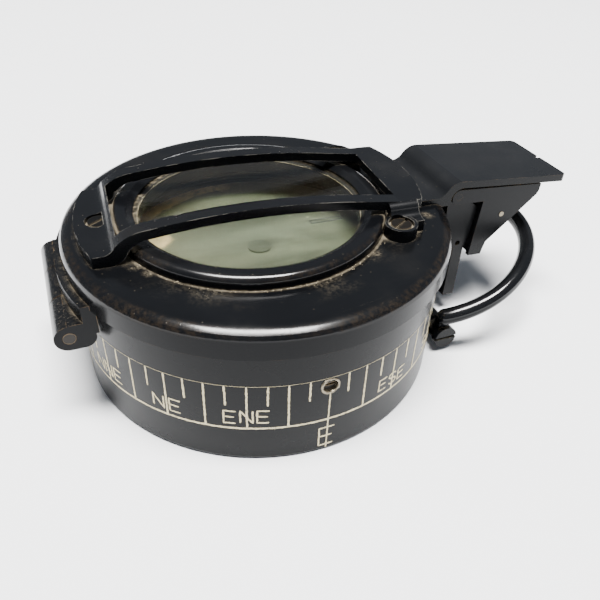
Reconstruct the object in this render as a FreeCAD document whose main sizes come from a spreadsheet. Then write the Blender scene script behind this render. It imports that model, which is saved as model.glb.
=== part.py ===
"""Prismatic sighting compass, modelled closed, in millimetres.

+Z is up and z = 0 is the face that the compass rests on, with the origin at its centre.
The line of sight runs along X: the lid hinge is at -X, the folding prism at +X, and the
east mark of the engraved scale faces -Y.
"""
import FreeCAD, Part
import math
import os
import re
import Sketcher

doc = FreeCAD.newDocument("sighting_compass")
sheet = doc.addObject("Spreadsheet::Sheet", "Sizes")

SIZES = {
    # case
    "case_radius": 30.0, "case_bore": 27.0, "case_top": 20.3, "ledge_height": 16.3,
    "upper_bore": 27.4, "base_thickness": 1.6, "base_radius": 27.4, "spanner_offset": 19.0,
    "filler_radius": 1.15, "filler_height": 13.4, "filler_gap": 0.4, "spanner_hole": 1.1,
    "spanner_depth": 1.0,
    # sealed bowl and its glass
    "bowl_radius": 26.8, "bowl_wall": 1.0, "bowl_floor": 4.0, "bowl_flange": 0.5,
    "gasket_thickness": 0.2, "capsule_glass_thickness": 1.0, "clamp_ring_thickness": 0.7,
    "gasket_opening": 25.0, "clamp_opening": 24.8,
    # floating card
    "card_radius": 23.4, "card_height": 16.1, "card_thickness": 0.35, "hub_radius": 1.95,
    "magnet_length": 26.0, "magnet_width": 1.6, "magnet_offset": 4.0, "magnet_height": 1.6,
    # rotating bearing ring
    "ring_radius": 29.0, "ring_low": 18.9, "ring_shoulder": 20.6, "ring_top": 22.3,
    "ring_opening": 23.6, "ring_rebate": 24.4, "spigot_radius": 27.3, "ring_glass_thickness": 1.0,
    "notch_count": 90, "notch_size": 0.5, "retainer_height": 0.6, "snap_low": 19.35,
    "snap_height": 0.5, "snap_depth": 0.4, "snap_proud": 0.35,
    # lid
    "lid_radius": 30.94, "lid_inner": 29.4, "lid_low": 20.57, "lid_under": 22.8, "lid_top": 25.0,
    "lid_corner": 23.5, "lid_round": 2.4, "window_x": -1.5, "aperture": 17.6, "bezel_radius": 21.6,
    "bezel_opening": 18.2, "bezel_top": 27.0, "bezel_round": 1.1, "glass_radius": 19.0,
    "glass_low": 25.25, "glass_top": 26.0,
    # hinge
    "hinge_x": -32.05, "hinge_height": 16.4, "barrel_radius": 2.1, "barrel_half": 11.8,
    "cheek_width": 1.2, "knuckle_half": 4.0, "knuckle_gap": 0.2, "hinge_pin_radius": 0.9,
    "running_gap": 0.05, "leaf_radius": 32.1, "leaf_inner": 30.3, "leaf_top": 21.3,
    "leaf_web": 2.2,
    # tongue over the prism
    "tongue_half": 7.8, "tongue_end": 55.3, "tongue_root_top": 28.3, "tongue_tip_top": 26.2,
    "tongue_thickness": 1.25, "tongue_foot": 23.5, "tongue_foot_top": 25.9,
    "notch_depth": 0.9, "notch_half": 0.45, "rivet_radius": 0.8, "rivet_x": 25.3,
    "rivet_spread": 4.5, "rivet_top": 26.2,
    # guard over the window
    "guard_turn": -3.0, "bar_outer": 10.1, "bar_inner": 7.7, "plate_radius": 28.4,
    "plate_edge": -22.9, "plate_thickness": 1.8, "crescent_radius": 25.6, "crescent_edge": 19.75,
    "arch_top": 30.9, "bar_thickness": 1.45, "boss_x": 18.6, "boss_y": 13.35, "boss_radius": 2.55,
    "boss_top": 27.0, "guard_screw_x": -24.8, "screw_head": 1.6, "screw_shank": 1.0,
    "screw_head_height": 0.6, "head_recess": 0.4, "recess_depth": 0.7, "leg_width": 4.8,
    "leg_offset": 1.6, "slot_length": 5.0, "slot_width": 0.5, "slot_height": 1.0,
    "slot_depth": 0.35,
    # focusing slide and bracket
    "track_half": 4.6, "track_face": 34.2, "track_low": 3.2, "track_top": 19.6,
    "track_shank": 0.8, "track_head": 1.3, "track_head_x": 30.5, "track_head_height": 0.7,
    "track_screw_inset": 2.6,
    "slide_x": 34.6, "slide_half": 6.7, "slide_low": 3.6, "slide_shoulder": 14.2,
    "slide_thickness": 2.2, "lap_thickness": 1.1, "ear_thickness": 0.8, "lap_top": 21.0,
    "lap_rivet_radius": 0.7, "lap_rivet_spread": 3.5, "lap_rivet_height": 17.5,
    # prism box
    "pivot_x": 33.0, "pivot_height": 25.3, "pivot_radius": 0.6, "box_half": 7.7,
    "cheek": 0.75, "wall": 0.8, "box_face": 38.2, "box_end": 50.1, "box_top_far": 25.2,
    "lens_radius": 3.6, "lens_height": 19.4, "lens_sphere": 16.0, "knuckle": 1.4, "box_boss": 1.35,
    "box_pin_radius": 0.45, "box_pin_proud": 0.12, "box_pin_x": 42.8, "box_pin_height": 20.4,
    # thumb ring
    "thumb_x": 28.9, "thumb_height": 2.9, "ring_x": 35.08, "ring_z": 9.36, "thumb_radius": 17.4,
    "thumb_reach": 6.9, "thumb_wire": 1.45, "thumb_tilt": 20.0, "arm_radius": 1.25, "eye_low": 13.2,
    "eye_high": 15.5, "eye_radius": 1.7, "lug_low": 10.6, "lug_high": 12.9, "lug_radius": 2.1,
    "thumb_screw_radius": 0.85, "thumb_head_radius": 2.1, "thumb_head_gap": 0.25,
    "thumb_head_end": 17.0, "thumb_slot_depth": 0.4,
}

for row, (alias, value) in enumerate(SIZES.items(), start=1):
    sheet.set("A%d" % row, alias)
    sheet.set("B%d" % row, str(value))
    sheet.setAlias("B%d" % row, alias)
doc.recompute()

ALONG_X = FreeCAD.Rotation(FreeCAD.Vector(0, 1, 0), 90)
ALONG_Y = FreeCAD.Rotation(FreeCAD.Vector(1, 0, 0), -90)
ALONG_Z = FreeCAD.Rotation()
SIDES = (("near", "-1"), ("far", "1"))
sub_parts = []


def formula(text):
    """Turn words that name a size into references to the sheet."""
    def name(word):
        return "Sizes." + word[0] if word[0] in SIZES else word[0]
    return re.sub(r"[a-z_]+", name, str(text))


def number(text):
    """Present value of a formula."""
    return float(sheet.evalExpression(formula(text)))


def point(pair):
    return FreeCAD.Vector(number(pair[0]), number(pair[1]), 0)


def via(across, up):
    """Mark a point that bends the edge it lies on into an arc."""
    return ("via", across, up)


# ---- sketches and bodies -------------------------------------------------------------------


def turns_left(start, middle, end):
    return (middle - start).cross(end - middle).z > 0


def pin_down(sketch, edge, end, place):
    """Hold one point of a sketch at formulas for its two coordinates."""
    for kind, text in zip(("DistanceX", "DistanceY"), place):
        index = sketch.addConstraint(Sketcher.Constraint(kind, -1, 1, edge, end, number(text)))
        sketch.setExpression("Constraints[%d]" % index, formula(text))


def outline(body, role, places):
    """Closed sketch through the places, on one of the body's own origin planes."""
    corners = [place for place in places if place[0] != "via"]
    bends = {}
    for index, place in enumerate(places):
        if place[0] == "via":
            bends[corners.index(places[index - 1])] = place[1:]
    sketch = body.newObject("Sketcher::SketchObject", body.Name + "_outline")
    plane = [feature for feature in body.Origin.OriginFeatures if feature.Role == role][0]
    sketch.AttachmentSupport = [(plane, "")]
    sketch.MapMode = "FlatFace"
    ends = []
    for index, corner in enumerate(corners):
        start = point(corner)
        end = point(corners[(index + 1) % len(corners)])
        if index in bends:
            middle = point(bends[index])
            sketch.addGeometry(Part.Arc(start, middle, end))
            ends.append((1, 2) if turns_left(start, middle, end) else (2, 1))
        else:
            sketch.addGeometry(Part.LineSegment(start, end))
            ends.append((1, 2))
    for index, corner in enumerate(corners):
        following = (index + 1) % len(corners)
        meeting = (index, ends[index][1], following, ends[following][0])
        sketch.addConstraint(Sketcher.Constraint("Coincident", *meeting))
        pin_down(sketch, index, ends[index][0], corner)
    for index, bend in bends.items():
        marker = sketch.addGeometry(Part.Point(point(bend)), True)
        pin_down(sketch, marker, 1, bend)
        sketch.addConstraint(Sketcher.Constraint("PointOnObject", marker, 1, index))
    return sketch


def new_body(name):
    body = doc.addObject("PartDesign::Body", name)
    doc.recompute()
    return body


def turned(name, places):
    """Body turned about Z from an outline of radius and height."""
    body = new_body(name)
    sketch = outline(body, "XZ_Plane", places)
    turn = body.newObject("PartDesign::Revolution", name + "_turn")
    turn.Profile = sketch
    turn.ReferenceAxis = (sketch, ["V_Axis"])
    turn.Angle = 360
    sketch.Visibility = False
    body.Tip = turn
    return body


def plate(name, role, places, thickness):
    """Body padded equally to both sides of an origin plane."""
    body = new_body(name)
    pad = body.newObject("PartDesign::Pad", name + "_pad")
    pad.Profile = outline(body, role, places)
    pad.SideType = "Symmetric"
    pad.setExpression("Length", formula(thickness))
    body.Tip = pad
    return body


# ---- primitives and booleans ---------------------------------------------------------------


def place_at(piece, corner, rotation=ALONG_Z):
    piece.Placement = FreeCAD.Placement(FreeCAD.Vector(*[number(text) for text in corner]), rotation)
    for axis, text in zip("xyz", corner):
        piece.setExpression("Placement.Base." + axis, formula(text))
    return piece


def rod(name, radius, length, start, rotation=ALONG_Z):
    """Cylinder that begins at start and runs along the rotated Z axis."""
    piece = doc.addObject("Part::Cylinder", name)
    piece.setExpression("Radius", formula(radius))
    piece.setExpression("Height", formula(length))
    return place_at(piece, start, rotation)


def strut(name, radius, start, end):
    """Cylinder from one point to another."""
    steps = ["(%s) - (%s)" % (last, first) for first, last in zip(start, end)]
    length = "sqrt(%s)" % " + ".join("(%s)^2" % step for step in steps)
    along = FreeCAD.Vector(*[number(step) for step in steps])
    return rod(name, radius, length, start, FreeCAD.Rotation(FreeCAD.Vector(0, 0, 1), along))


def ball(name, radius, centre):
    piece = doc.addObject("Part::Sphere", name)
    piece.setExpression("Radius", formula(radius))
    return place_at(piece, centre)


def block(name, low, high):
    """Box between two opposite corners."""
    piece = doc.addObject("Part::Box", name)
    for size, first, last in zip(("Length", "Width", "Height"), low, high):
        piece.setExpression(size, formula("(%s) - (%s)" % (last, first)))
    return place_at(piece, low)


def cut(name, base, *tools):
    """Base less every tool."""
    for step, tool in enumerate(tools, start=1):
        last = step == len(tools)
        piece = doc.addObject("Part::Cut", name if last else "%s_cut_%d" % (name, step))
        piece.Base = base
        piece.Tool = tool
        base = piece
    return base


def fuse(name, *pieces):
    piece = doc.addObject("Part::MultiFuse", name)
    piece.Shapes = list(pieces)
    piece.Refine = True
    return piece


def common(name, *pieces):
    piece = doc.addObject("Part::MultiCommon", name)
    piece.Shapes = list(pieces)
    return piece


def group(name, *pieces):
    """Separate solids that share one sub-part."""
    piece = doc.addObject("Part::Compound", name)
    piece.Links = list(pieces)
    return piece


def rounded(name, base, radius, wanted):
    """Fillet the edges of base whose centre of mass passes the test."""
    doc.recompute()
    piece = doc.addObject("Part::Fillet", name)
    piece.Base = base
    edges = enumerate(base.Shape.Edges, start=1)
    piece.Edges = [(index, radius, radius) for index, edge in edges if wanted(edge)]
    return piece


def keep(piece, name):
    """List a finished piece as a sub-part of its own."""
    piece.Label = name
    sub_parts.append(piece)
    return piece


def slotted_screw(name, spot, head_low, shank_low, angle):
    """Screw along Z with a straight slot in its head."""
    across, along = spot
    shank_length = "(%s) - (%s)" % (head_low, shank_low)
    shank = rod(name + "_shank", "screw_shank", shank_length, (across, along, shank_low))
    head = rod(name + "_head", "screw_head", "screw_head_height", (across, along, head_low))
    slot = doc.addObject("Part::Box", name + "_slot")
    for size in ("Length", "Width", "Height"):
        slot.setExpression(size, formula("slot_" + size.lower()))
    half_length = "slot_length / 2 * "
    half_width = "slot_width / 2 * "
    cosine = "cos(%d)" % angle
    sine = "sin(%d)" % angle
    corner = (across + " - " + half_length + cosine + " + " + half_width + sine,
              along + " - " + half_length + sine + " - " + half_width + cosine,
              head_low + " + screw_head_height - slot_depth")
    place_at(slot, corner, FreeCAD.Rotation(FreeCAD.Vector(0, 0, 1), angle))
    solid = fuse(name + "_solid", shank, head)
    return cut(name, solid, slot)


# ---- lid hinge and the screws that pierce several pieces -------------------------------------


def hinge_rod(name, radius, half):
    """Cylinder along the hinge's axis, reaching the same distance to each side."""
    start = ("hinge_x", "-(%s)" % half, "hinge_height")
    return rod(name, radius, "2 * (%s)" % half, start, ALONG_Y)


def hinge_pieces():
    """Pin, middle knuckle fixed to the case, and the leaf brazed to the lid skirt."""
    low = "hinge_height - barrel_radius"
    far_left = -40
    inboard = -24
    pin = keep(hinge_rod("hinge_pin", "hinge_pin_radius", "barrel_half"), "hinge_pin")

    knuckle = hinge_rod("case_knuckle", "barrel_radius", "knuckle_half")
    web_end = ("-case_bore", "knuckle_half", "hinge_height")
    web = block("case_web", ("hinge_x", "-knuckle_half", low), web_end)
    wall = rod("hinge_case_wall", "case_radius", "40", (0, 0, 0))
    joined = fuse("case_leaf_solid", knuckle, web)
    keep(cut("case_hinge_leaf", joined, wall, pin), "case_hinge_leaf")

    barrel = hinge_rod("lid_barrel", "barrel_radius", "barrel_half")
    web_end = (inboard, "barrel_half", "hinge_height + leaf_web")
    lid_web = block("lid_web", ("hinge_x", "-barrel_half", "hinge_height"), web_end)
    rim = rod("leaf_rim", "leaf_radius", "leaf_top - hinge_height", (0, 0, "hinge_height"))
    rim_window = block("leaf_span", (far_left, "-barrel_half", 0), (inboard, "barrel_half", 40))
    band = common("leaf_band", rim, rim_window)
    below_skirt = rod("leaf_inside", "leaf_inner", "30", (0, 0, 0))
    beside_skirt = rod("leaf_skirt", "lid_radius", "20", (0, 0, "lid_low"))
    gap = hinge_rod("middle_gap", "barrel_radius + 2 * knuckle_gap", "knuckle_half + knuckle_gap")
    gap_end = (inboard, "knuckle_half + knuckle_gap", "hinge_height + leaf_web + 0.5")
    gap_block = block("middle_gap_block", (far_left, "-knuckle_half - knuckle_gap", 0), gap_end)
    bore = hinge_rod("lid_bore", "hinge_pin_radius + running_gap", "barrel_half + 1")
    ends = plate("leaf_ends", "XZ_Plane", [
        ("hinge_x", low), ("-30", "14.3"), via("-28.85", "14.8"), ("-28.35", "15.9"),
        ("-28.5", "leaf_top"), ("-29.9", "leaf_top"), ("-29.9", "hinge_height"),
        ("hinge_x", "hinge_height")], "2 * barrel_half")
    between_end = (inboard, "barrel_half - cheek_width", 40)
    between = block("leaf_between", (far_left, "cheek_width - barrel_half", 0), between_end)
    solid = fuse("lid_leaf_solid", barrel, lid_web, band, cut("leaf_cheeks", ends, between))
    leaf = cut("lid_hinge_leaf", solid, below_skirt, beside_skirt, gap, gap_block, bore)
    keep(leaf, "lid_hinge_leaf")


# ---- case and what it holds --------------------------------------------------------------------


def case_pieces():
    filler = rod("filler_rod", "filler_radius", "case_radius - case_bore - filler_gap",
                 (0, "filler_gap - case_radius", "filler_height"), ALONG_Y)
    filler_slot = block("filler_slot", (-2, "-case_radius", "filler_height - 0.2"),
                        (2, "0.8 - case_radius", "filler_height + 0.2"))
    keep(cut("filler_plug", filler, filler_slot), "filler_plug")
    hole_start = (0, "-case_radius - 1", "filler_height")
    filler_hole = rod("filler_hole", "filler_radius", "5", hole_start, ALONG_Y)

    screws = []
    track_head_end = "track_head_x + track_head_height"
    for side, height in (("low", "track_low + track_screw_inset"), ("high", "track_top - track_screw_inset")):
        shank = rod("track_shank_" + side, "track_shank", track_head_end + " - upper_bore",
                    ("upper_bore", 0, height), ALONG_X)
        head = rod("track_head_" + side, "track_head", "track_head_height",
                   ("track_head_x", 0, height), ALONG_X)
        screws.append(fuse("track_screw_" + side, shank, head))
    track_screws = keep(group("track_screws", *screws), "track_screws")

    shell = turned("case_shell", [
        ("case_radius - 2.5", 0), ("case_radius - 0.6", 0), via("case_radius - 0.176", "0.176"),
        ("case_radius", "0.6"), ("case_radius", "case_top"), ("upper_bore", "case_top"),
        ("upper_bore", "20.05"), ("upper_bore + 0.5", "20.05"), ("upper_bore + 0.5", "19.15"),
        ("upper_bore", "19.15"), ("upper_bore", "ledge_height"), ("case_bore", "ledge_height"),
        ("case_bore", "base_thickness + 0.2"), ("case_radius - 2.5", "base_thickness + 0.2")])
    # The seam of the turned shell is moved away from the track's screw holes.
    shell.Placement = FreeCAD.Placement(FreeCAD.Vector(), FreeCAD.Rotation(FreeCAD.Vector(0, 0, 1), 60))
    keep(cut("case_body", shell, filler_hole, track_screws), "case_body")

    cover = rod("cover_disc", "base_radius", "base_thickness", (0, 0, 0))
    spanner_holes = []
    for side, sign in SIDES:
        spot = (sign + " * spanner_offset", 0, 0)
        spanner_holes.append(rod("spanner_hole_" + side, "spanner_hole", "spanner_depth", spot))
    keep(cut("base_cover", cover, *spanner_holes), "base_cover")

    keep(turned("expansion_diaphragm", [
        (0, "2.8"), (8, "2.8"), (9, "3.3"), (14, "3.3"), (15, "2.8"), (20, "2.8"), (22, "3.7"),
        (25, "3.7"), (25, "bowl_floor"), ("21.8", "bowl_floor"), ("19.8", "3.1"), ("15.2", "3.1"),
        ("14.2", "3.6"), ("8.8", "3.6"), ("7.8", "3.1"), (0, "3.1")]), "expansion_diaphragm")

    bowl_inner = "bowl_radius - bowl_wall"
    floor_top = "bowl_floor + 1.2"
    keep(turned("compass_bowl", [
        (0, "bowl_floor"), ("bowl_radius", "bowl_floor"), ("bowl_radius", "ledge_height"),
        ("upper_bore - 0.1", "ledge_height"), ("upper_bore - 0.1", "ledge_height + bowl_flange"),
        (bowl_inner, "ledge_height + bowl_flange"), (bowl_inner, floor_top),
        (0, floor_top)]), "compass_bowl")

    keep(turned("pivot_post", [
        (0, floor_top), (3, floor_top), (3, "bowl_floor + 2.4"), ("1.2", "bowl_floor + 2.4"),
        ("1.2", "11.5"), ("0.3", "13"), ("0.3", "15"), (0, "15.4")]), "pivot_post")

    gasket_low = "ledge_height + bowl_flange"
    glass_low = gasket_low + " + gasket_thickness"
    clamp_low = glass_low + " + capsule_glass_thickness"
    gasket = rod("gasket_disc", "upper_bore - 0.1", "gasket_thickness", (0, 0, gasket_low))
    gasket_hole = rod("gasket_hole", "gasket_opening", "gasket_thickness", (0, 0, gasket_low))
    keep(cut("capsule_gasket", gasket, gasket_hole), "capsule_gasket")
    capsule_glass = rod("capsule_glass", "upper_bore - 0.2", "capsule_glass_thickness", (0, 0, glass_low))
    keep(capsule_glass, "capsule_glass")
    clamp = rod("clamp_disc", "upper_bore", "clamp_ring_thickness", (0, 0, clamp_low))
    clamp_hole = rod("clamp_hole", "clamp_opening", "clamp_ring_thickness", (0, 0, clamp_low))
    keep(cut("glass_clamp_ring", clamp, clamp_hole), "glass_clamp_ring")


def card_pieces():
    """Mother-of-pearl card with its two magnets and the cup that rides on the pivot."""
    card = rod("card_disc", "card_radius", "card_thickness", (0, 0, "card_height"))
    card_hole = rod("card_hole", "1.5", "card_thickness", (0, 0, "card_height"))
    keep(cut("compass_card", card, card_hole), "compass_card")
    card_top = "card_height + card_thickness"
    keep(turned("jewel_cup", [
        ("0.7", "13.4"), ("1.5", "13.4"), ("1.5", card_top), ("hub_radius", card_top),
        ("hub_radius", card_top + " + 0.3"), (0, card_top + " + 0.3"), (0, "15.7"),
        ("0.7", "15.7")]), "jewel_cup")
    bars = []
    for side, sign in SIDES:
        low = "%s * (magnet_offset + magnet_width / 2) - magnet_width / 2" % sign
        bars.append(block("magnet_" + side, ("-magnet_length / 2", low, "card_height - magnet_height"),
                          ("magnet_length / 2", low + " + magnet_width", "card_height")))
    keep(group("card_magnets", *bars), "card_magnets")


def bearing_ring_pieces():
    """Milled ring that turns on the case with its own glass."""
    blank = turned("bearing_ring_blank", [
        ("ring_rebate", "ring_low"), ("spigot_radius", "ring_low"), ("spigot_radius", "19.3"),
        ("spigot_radius - snap_depth", "19.3"), ("spigot_radius - snap_depth", "19.9"),
        ("spigot_radius", "19.9"),
        ("spigot_radius", "ring_shoulder"), ("ring_radius", "ring_shoulder"), ("ring_radius", "ring_top"),
        ("ring_opening + 0.6", "ring_top"), ("ring_opening", "ring_top - 0.6"),
        ("ring_opening", "ring_shoulder"), ("ring_rebate", "ring_shoulder")])
    notches = []
    count = int(SIZES["notch_count"])
    for index in range(count):
        angle = 360.0 * index / count
        notches.append(rod("notch_%d" % index, "notch_size / 2", "3", (
            "ring_radius * cos(%f)" % angle, "ring_radius * sin(%f)" % angle, "ring_shoulder - 0.5")))
    keep(cut("bearing_ring", blank, group("milled_edge", *notches)), "bearing_ring")
    glass_low = "ring_shoulder - ring_glass_thickness"
    glass = rod("bearing_glass", "ring_rebate - 0.1", "ring_glass_thickness", (0, 0, glass_low))
    keep(glass, "bearing_glass")
    below = (0, 0, glass_low + " - retainer_height")
    retainer = rod("retainer_disc", "ring_rebate", "retainer_height", below)
    retainer_hole = rod("retainer_hole", "ring_opening - 0.4", "retainer_height", below)
    keep(cut("glass_retainer", retainer, retainer_hole), "glass_retainer")
    snap = rod("snap_disc", "spigot_radius + snap_proud", "snap_height", (0, 0, "snap_low"))
    snap_hole = rod("snap_hole", "spigot_radius - snap_depth", "snap_height", (0, 0, "snap_low"))
    snap_split = block("snap_split", (0, -1, "snap_low"), (30, 1, "snap_low + snap_height"))
    keep(cut("snap_ring", snap, snap_hole, snap_split), "snap_ring")


# ---- lid ---------------------------------------------------------------------------------------


def tongue_piece(lid, rivets):
    """Plate that covers the folded prism, brazed and riveted to the lid."""
    slope = "(tongue_root_top - tongue_tip_top)"
    body = plate("tongue_blank", "XZ_Plane", [
        ("tongue_foot", "tongue_foot_top"), ("28.4", "tongue_foot_top"), via("29.5", "26.2"),
        ("30.3", "26.95"), via("31.35", "27.9"), ("32.8", "tongue_root_top"),
        ("tongue_end", "tongue_tip_top"), ("tongue_end", "tongue_tip_top - tongue_thickness"),
        ("33.4", "tongue_tip_top + %s - tongue_thickness" % slope), via("32.0", "26.55"),
        ("31.3", "25.3"), ("31.3", "24.2"), ("tongue_foot", "24.2")], "2 * tongue_half")
    notch = block("tongue_notch", ("tongue_end - notch_depth", "-notch_half", 0),
                  ("tongue_end + 1", "notch_half", 40))
    trimmed = cut("tongue_trimmed", body, notch, lid, rivets)
    tip = SIZES["tongue_end"] - 0.3
    half = SIZES["tongue_half"]

    def tip_corner(edge):
        centre = edge.CenterOfMass
        return centre.x > tip and abs(abs(centre.y) - half) < 0.01 and edge.Length < 1.5

    keep(rounded("lid_tongue", trimmed, 1.0, tip_corner), "lid_tongue")


def turn_guard(piece):
    """The guard sits slightly askew on the lid, with everything that is fixed through it."""
    turn = FreeCAD.Rotation(FreeCAD.Vector(0, 0, 1), SIZES["guard_turn"])
    piece.Placement = FreeCAD.Placement(FreeCAD.Vector(), turn)
    piece.setExpression("Placement.Rotation.Angle", formula("guard_turn"))
    return piece


def guard_foot(side, sign):
    """Leg that bends down from the end of the crescent to its screw boss."""
    away = sign + " * "
    leg = plate("guard_leg_" + side, "YZ_Plane", [
        (away + "9.6", "28.7"), via(away + "10.6", "28.5"), (away + "11.05", "28"),
        via(away + "11.5", "27.2"), (away + "12.4", "26.9"), (away + "boss_y", "26.85"),
        (away + "boss_y", "lid_top"), (away + "11.6", "lid_top"), (away + "10.1", "27.2"),
        (away + "9.6", "27.25")], "leg_width")
    leg.setExpression("Placement.Base.x", formula("boss_x + leg_offset"))
    spot = ("boss_x", away + "boss_y", "lid_top")
    boss = rod("guard_boss_" + side, "boss_radius", "boss_top - lid_top", spot)
    return [leg, boss]


def guard_piece(screws):
    """Two arched bars that join a plate near the hinge to a crescent near the prism."""
    low = "arch_top - bar_thickness"
    plate_top = "lid_top + plate_thickness"
    profile = plate("guard_profile", "XZ_Plane", [
        (-30, plate_top), ("-24.9", plate_top), via("-24.0", "27.2"), ("-23.3", "28.0"),
        via("-21.7", "29.15"), ("-18.7", "29.95"), via(-4, "arch_top"), ("14.8", "29.4"),
        ("19.7", "28.75"), (28, "28.6"), (28, "27.15"), ("19.7", "27.3"), ("14.8", "27.95"),
        via(-4, low), ("-18.4", "28.5"), via("-20.4", "27.95"), ("-21.6", "26.8"),
        via("-22.5", "25.6"), ("-23.8", "lid_top"), (-30, "lid_top")], "2 * bar_outer")
    plate_corner = "-sqrt(plate_radius * plate_radius - bar_outer * bar_outer)"
    crescent_corner = "sqrt(crescent_radius * crescent_radius - bar_outer * bar_outer)"
    plan = plate("guard_plan", "XY_Plane", [
        (plate_corner, "-bar_outer"), (crescent_corner, "-bar_outer"), via("crescent_radius", 0),
        (crescent_corner, "bar_outer"), (plate_corner, "bar_outer"), via("-plate_radius", 0)], "90")
    window = block("guard_window", ("plate_edge", "-bar_inner", 0), ("crescent_edge", "bar_inner", 45))
    bars = cut("guard_bars", common("guard_trimmed", profile, plan), window)
    legs = []
    recess = "screw_head + head_recess"
    holes = [rod("plate_recess", recess, "1", ("guard_screw_x", 0, plate_top + " - recess_depth"))]
    for side, sign in SIDES:
        legs += guard_foot(side, sign)
        spot = ("boss_x", sign + " * boss_y", "boss_top - recess_depth")
        holes.append(rod("boss_recess_" + side, recess, "1", spot))
    bezel_room = rod("bezel_room", "bezel_radius + 0.1", "bezel_top - 20 + 0.15", ("window_x", 0, 20))
    bored = turn_guard(cut("guard_bored", fuse("guard_solid", bars, *legs), *holes))
    keep(cut("window_guard", bored, bezel_room, *screws), "window_guard")


def lid_pieces():
    rivet_pair = []
    for side, sign in SIDES:
        spot = ("rivet_x", sign + " * rivet_spread", "lid_under")
        rivet_pair.append(rod("tongue_rivet_" + side, "rivet_radius", "rivet_top - lid_under", spot))
    rivets = keep(group("tongue_rivets", *rivet_pair), "tongue_rivets")

    plate_screw = slotted_screw("guard_plate_screw", ("guard_screw_x", "0"),
                                "lid_top + plate_thickness - recess_depth", "lid_under", 35)
    keep(turn_guard(plate_screw), "guard_plate_screw")
    boss_pair = []
    for (side, sign), angle in zip(SIDES, (35, -50)):
        boss_pair.append(slotted_screw("boss_screw_" + side, ("boss_x", sign + " * boss_y"),
                                       "boss_top - recess_depth", "lid_under", angle))
    boss_screws = keep(turn_guard(group("guard_boss_screws", *boss_pair)), "guard_boss_screws")

    shell = turned("lid_turned", [
        ("lid_inner", "lid_low"), ("lid_radius", "lid_low"), ("lid_radius", "lid_corner"),
        via("lid_radius - 0.15", "lid_corner + 0.51"), ("lid_radius - 0.43", "lid_corner + 0.86"),
        via("lid_radius - lid_round / 2", "lid_corner + 1.3"), ("lid_radius - lid_round", "lid_top"),
        (0, "lid_top"), (0, "lid_under"),
        ("lid_inner", "lid_under")])
    window = rod("lid_aperture", "aperture", "10", ("window_x", 0, 20))
    lid = keep(cut("lid_shell", shell, window, rivets, plate_screw, boss_screws), "lid_shell")

    bend = "(1 - sqrt(0.5)) * bezel_round"
    bezel = turned("window_bezel", [
        ("glass_radius + 0.1", "lid_top"), ("bezel_radius", "lid_top"),
        ("bezel_radius", "bezel_top - bezel_round"), via("bezel_radius - " + bend, "bezel_top - " + bend),
        ("bezel_radius - bezel_round", "bezel_top"),
        ("bezel_opening + 1.1", "bezel_top"), ("bezel_opening", "bezel_top - 0.65"),
        ("bezel_opening", "glass_top + 0.05"), ("glass_radius + 0.1", "glass_top + 0.05")])
    bezel.setExpression("Placement.Base.x", formula("window_x"))
    keep(bezel, "window_bezel")
    gasket = rod("window_gasket_disc", "glass_radius", "glass_low - lid_top", ("window_x", 0, "lid_top"))
    gasket_hole = rod("window_gasket_hole", "aperture + 0.1", "1", ("window_x", 0, "lid_top"))
    keep(cut("window_gasket", gasket, gasket_hole), "window_gasket")
    glass = rod("window_glass", "glass_radius", "glass_top - glass_low", ("window_x", 0, "glass_low"))
    keep(glass, "window_glass")
    tongue_piece(lid, rivets)
    guard_piece([plate_screw, boss_screws])


# ---- focusing slide, bracket and prism box ---------------------------------------------------------


def slide_pieces():
    """Track on the case, and the plate that slides in it."""
    track = block("track_block", (26, "-track_half", "track_low"), ("track_face", "track_half", "track_top"))
    wall = rod("track_case_wall", "case_radius", "40", (0, 0, 0))
    mouth = block("track_mouth", ("32", "-1.6", 0), ("40", "1.6", 40))
    cavity = block("track_cavity", ("31.2", "-3.2", 0), ("32.9", "3.2", 40))
    screws = [piece for piece in sub_parts if piece.Label == "track_screws"]
    keep(cut("slide_track", track, wall, mouth, cavity, *screws), "slide_track")

    leg = block("slide_leg", ("slide_x", "-slide_half", "slide_low"),
                ("slide_x + slide_thickness", "slide_half", "slide_shoulder"))
    lap = block("slide_lap", ("slide_x", "-slide_half + ear_thickness", "slide_low"),
                ("slide_x + lap_thickness", "slide_half - ear_thickness", "lap_top"))
    neck = block("slide_neck", ("32", "-1.3", "4"), ("slide_x", "1.3", "18"))
    head = block("slide_head", ("31.5", "-2.9", "4"), ("32.65", "2.9", "18"))
    rivet_pair = []
    for side, sign in SIDES:
        spot = ("slide_x", sign + " * lap_rivet_spread", "lap_rivet_height")
        rivet_pair.append(rod("bracket_rivet_" + side, "lap_rivet_radius", "slide_thickness + 0.3",
                              spot, ALONG_X))
    rivets = keep(group("bracket_rivets", *rivet_pair), "bracket_rivets")
    keep(cut("slide_plate", fuse("slide_solid", leg, lap, neck, head), rivets), "slide_plate")
    return rivets


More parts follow.
